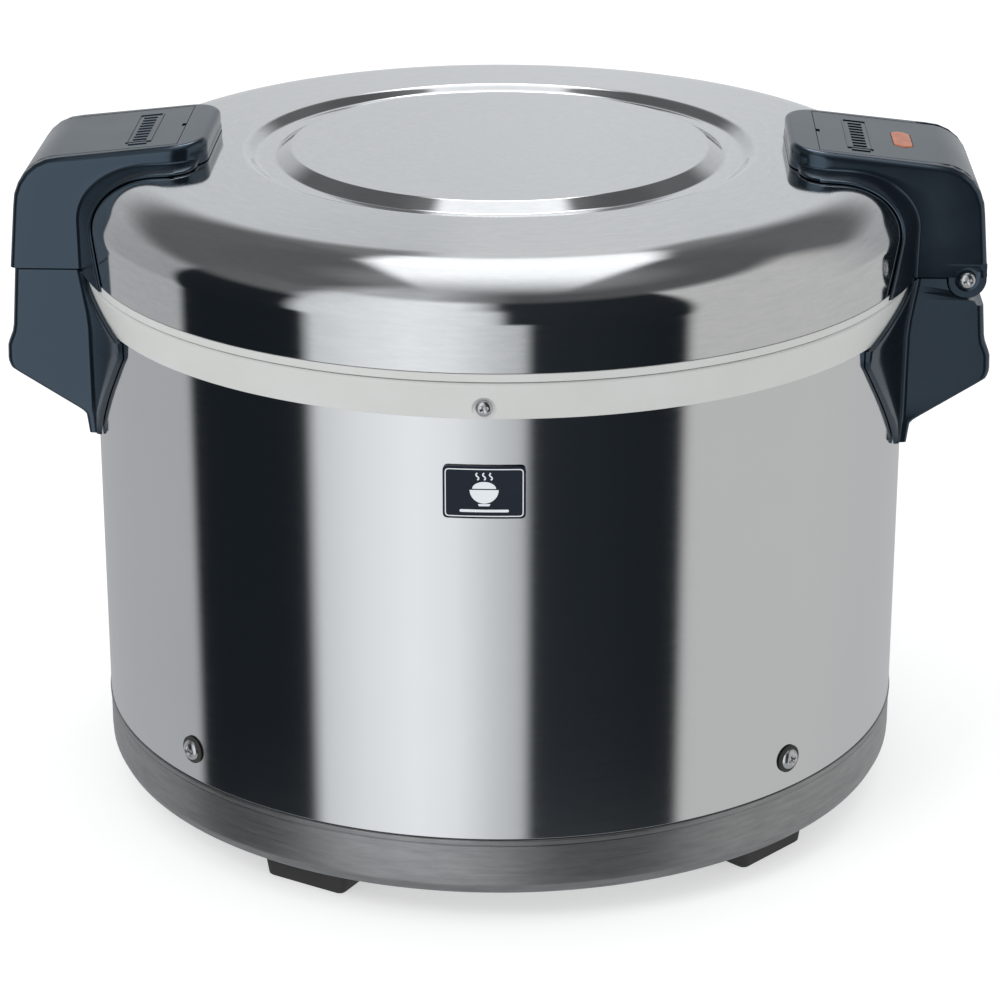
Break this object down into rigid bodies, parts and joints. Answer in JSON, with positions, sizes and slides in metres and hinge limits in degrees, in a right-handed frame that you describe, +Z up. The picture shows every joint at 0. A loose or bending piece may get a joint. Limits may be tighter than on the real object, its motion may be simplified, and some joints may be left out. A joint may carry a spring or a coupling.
{
  "type": "keep-warm rice cooker",
  "caption": "Round steel keep-warm rice cooker with a domed lid hinged at one side, a latch lever in the opposite handle, black handle brackets, a white collar and a lift-out pan.",
  "frame": {"origin": "on the floor under the middle of the drum", "axes": "+Z up; the front, with the badge, faces -Y; the lid's hinge is on +X and its latch on -X"},
  "size_m": [0.4164, 0.3568, 0.2898],
  "materials": {
    "polished_steel": "satin to bright drawn stainless steel",
    "brushed_steel": "brushed round the ring",
    "zinc_steel": "bright zinc-plated screws and pins",
    "aluminium": "satin pressed aluminium",
    "white_plastic": "off-white moulded plastic, slight sheen",
    "black_plastic": "fine-grained blue-black moulded plastic",
    "badge": "glossy dark blue with a white line",
    "rubber": "matte black rubber",
    "silicone": "grey silicone",
    "amber_lens": "translucent amber",
    "lamp_glass": "clear glass",
    "glass_wool": "soft fibre",
    "mica": "brown mica sheet",
    "ceramic": "fired ceramic"
  },
  "bodies": {
    "base": {"base_ring": "brushed_steel", "bottom_plate": "zinc_steel", "body_shell": "polished_steel", "badge_plate": "badge", "collar_ring": "white_plastic", "liner_well": "aluminium", "inner_pan": "polished_steel", "side_heater": "mica", "base_heater": "mica", "insulation_blanket": "glass_wool", "thermostat": "ceramic", "thermal_fuse": "zinc_steel", "terminal_block": "ceramic", "cord_gland": "rubber", "left_bracket": "black_plastic", "right_bracket": "black_plastic", "latch_strike": "zinc_steel", "hinge_pin": "zinc_steel", "foot_1": "rubber", "foot_screw_1": "zinc_steel", "shell_screw_1": "zinc_steel", "foot_2": "rubber", "foot_screw_2": "zinc_steel", "shell_screw_2": "zinc_steel", "foot_3": "rubber", "foot_screw_3": "zinc_steel", "shell_screw_3": "zinc_steel", "foot_4": "rubber", "foot_screw_4": "zinc_steel", "shell_screw_4": "zinc_steel", "collar_screw_front": "zinc_steel", "collar_screw_rear": "zinc_steel", "hinge_screw_front": "zinc_steel", "hinge_screw_rear": "zinc_steel", "left_bracket_screw_1": "zinc_steel", "left_bracket_screw_2": "zinc_steel", "right_bracket_screw_1": "zinc_steel", "right_bracket_screw_2": "zinc_steel"},
    "lid": {"outer_lid": "polished_steel", "lid_frame": "white_plastic", "inner_lid": "aluminium", "lid_gasket": "silicone", "inner_lid_bush": "silicone", "lid_heater": "mica", "lid_insulation": "glass_wool", "left_arm": "black_plastic", "right_arm": "black_plastic", "right_arm_cover": "black_plastic", "lamp_lens": "amber_lens", "lamp_bulb": "lamp_glass", "latch_pin": "zinc_steel", "latch_spring": "zinc_steel", "left_arm_screw_1": "zinc_steel", "left_arm_screw_2": "zinc_steel", "right_arm_screw_1": "zinc_steel", "right_arm_screw_2": "zinc_steel"},
    "latch": {"latch_lever": "black_plastic"}
  },
  "joints": [
    {"name": "lid_hinge", "type": "hinge", "parent": "base", "child": "lid", "pos_m": [0.1968, 0, 0.2365], "axis": [0, 1, 0], "range_deg": [0, 90]},
    {"name": "latch_press", "type": "hinge", "parent": "lid", "child": "latch", "pos_m": [-0.188, 0, 0.272], "axis": [0, 1, 0], "range_deg": [0, 2.5], "stiffness_Nm_per_rad": 2}
  ]
}
